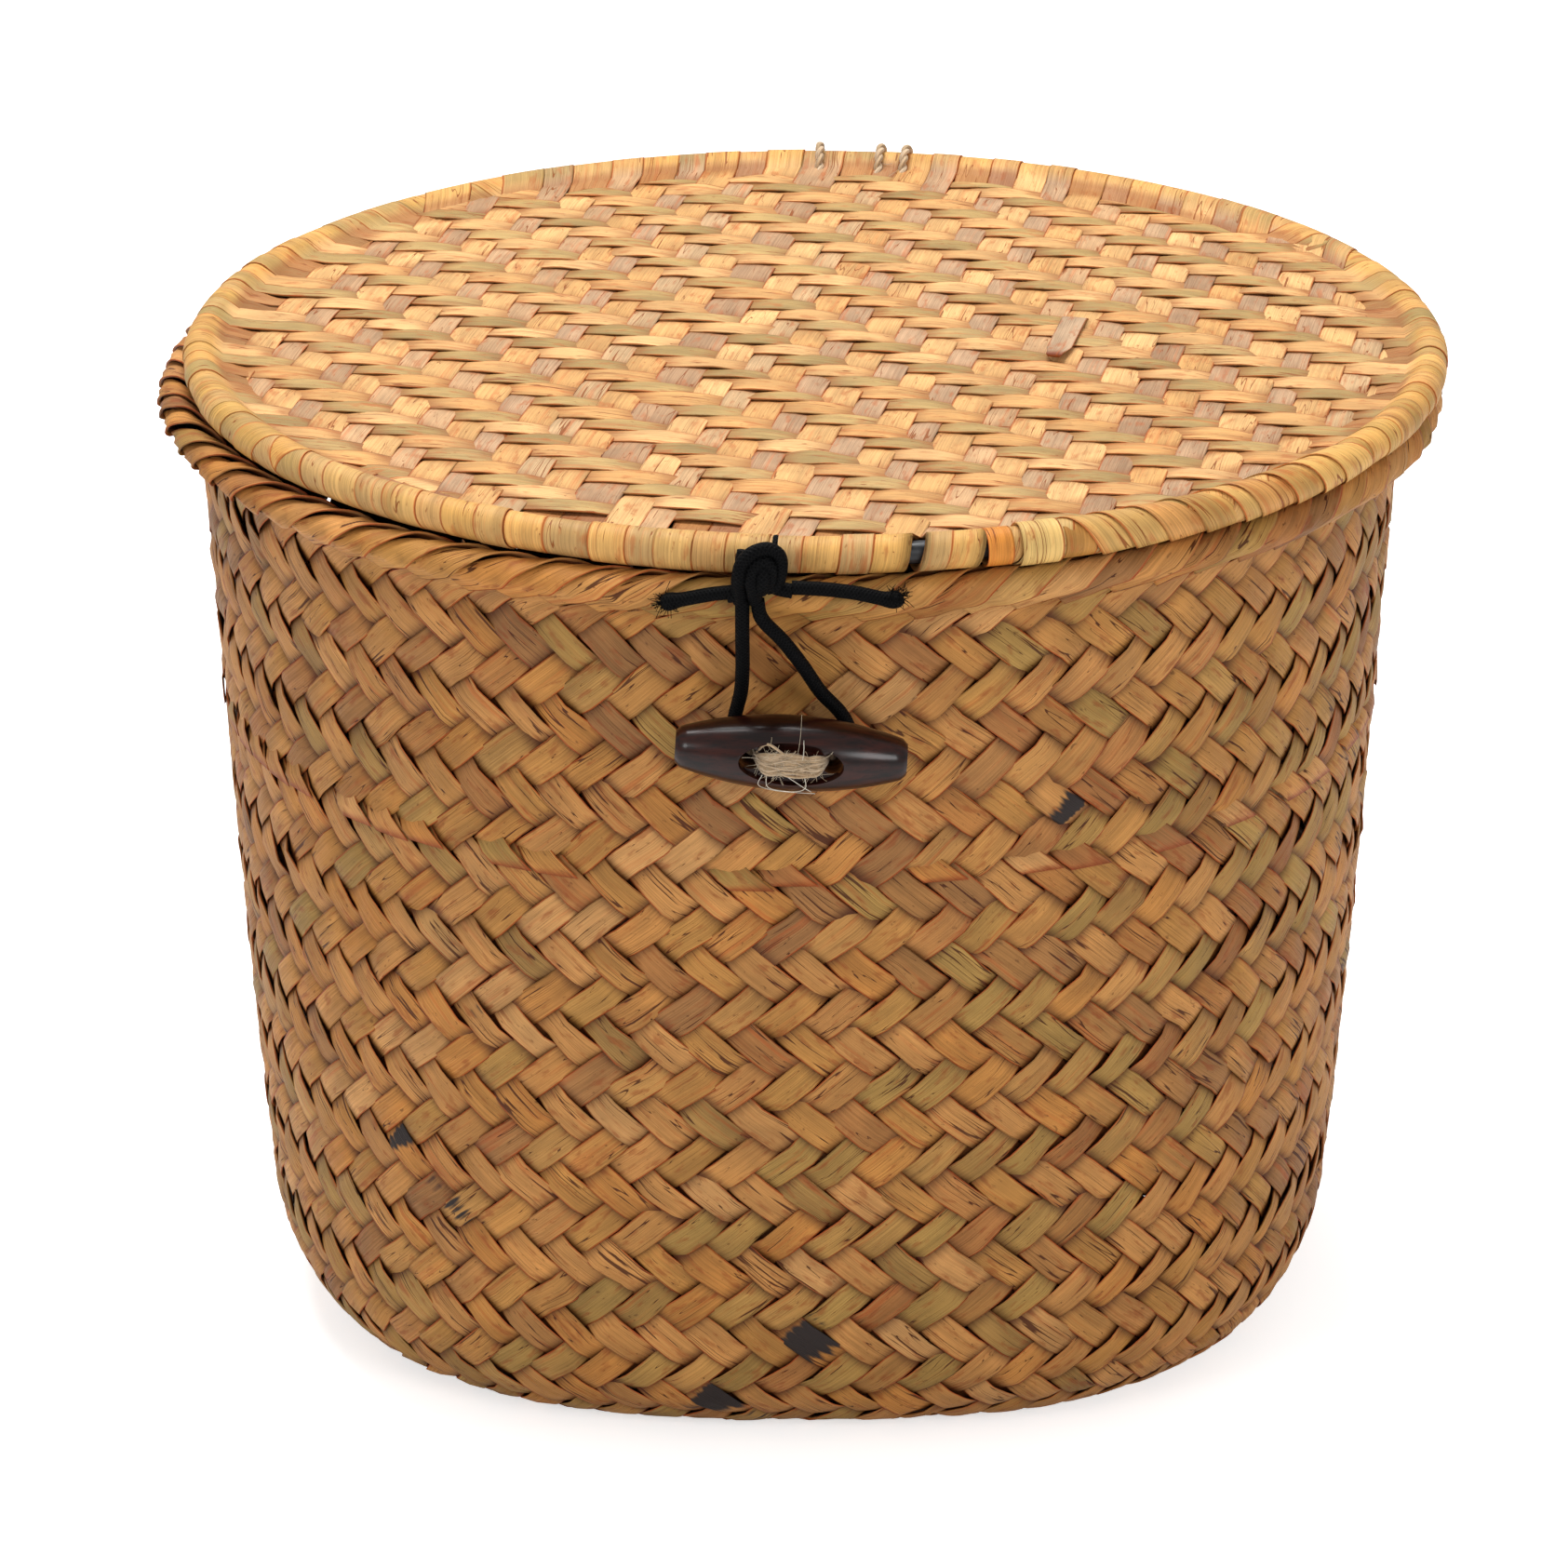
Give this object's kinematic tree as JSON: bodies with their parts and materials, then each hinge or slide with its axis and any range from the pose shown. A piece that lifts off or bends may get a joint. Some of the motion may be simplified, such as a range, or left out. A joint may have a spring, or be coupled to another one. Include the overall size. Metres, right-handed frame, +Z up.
{
  "type": "woven lidded box",
  "caption": "Round-rimmed straw box plaited on a squarish base, with a tied plaited lid closed by an elastic loop over a wooden toggle.",
  "frame": {"origin": "the middle of the flat base, on the surface that the box stands on", "axes": "+Z up through the rim and lid, -Y towards the toggle at the front, +X to the right seen from the front"},
  "size_m": [0.2452, 0.2584, 0.1909],
  "materials": {
    "body_straw": "plaited dry leaf strips, satin, tan to brown",
    "lid_straw": "plaited dry leaf strips, satin, pale straw with olive and mauve",
    "black_wire": "black coated wire",
    "black_elastic": "braided black elastic cord",
    "toggle_wood": "dark reddish brown lacquered wood",
    "jute_twine": "fuzzy natural jute"
  },
  "bodies": {
    "basket": {"basket_shell": "body_straw", "rim_hoop": "black_wire", "rim_border": "body_straw", "hinge_tie_left": "jute_twine", "hinge_knot_left": "jute_twine", "hinge_tie_middle": "jute_twine", "hinge_knot_middle": "jute_twine", "hinge_tie_right": "jute_twine", "hinge_knot_right": "jute_twine", "twine_knot": "jute_twine"},
    "lid": {"lid_panel": "lid_straw", "lid_hoop": "black_wire", "lid_border": "lid_straw", "elastic_turn": "black_elastic", "elastic_knot": "black_elastic", "elastic_tail_left": "black_elastic", "elastic_tail_right": "black_elastic"},
    "loop": {"elastic_loop": "black_elastic"},
    "toggle": {"toggle": "toggle_wood", "toggle_twine": "jute_twine"}
  },
  "joints": [
    {"name": "lid_hinge", "type": "hinge", "parent": "basket", "child": "lid", "pos_m": [0, 0.1223, 0.18215], "axis": [-1, 0, 0], "range_deg": [0, 110], "deforming": ["hinge_tie_left", "hinge_tie_middle", "hinge_tie_right", "elastic_loop"]},
    {"name": "loop_swing", "type": "hinge", "parent": "lid", "child": "loop", "pos_m": [-0.0089, -0.124, 0.1799], "axis": [-1, 0, 0], "range_deg": [0, 100], "deforming": ["elastic_loop"]},
    {"name": "toggle_twist", "type": "hinge", "parent": "basket", "child": "toggle", "pos_m": [-0.0018, -0.12399, 0.1515], "axis": [0, 1, 0], "range_deg": [-12, 12], "deforming": ["toggle_twine"]}
  ]
}
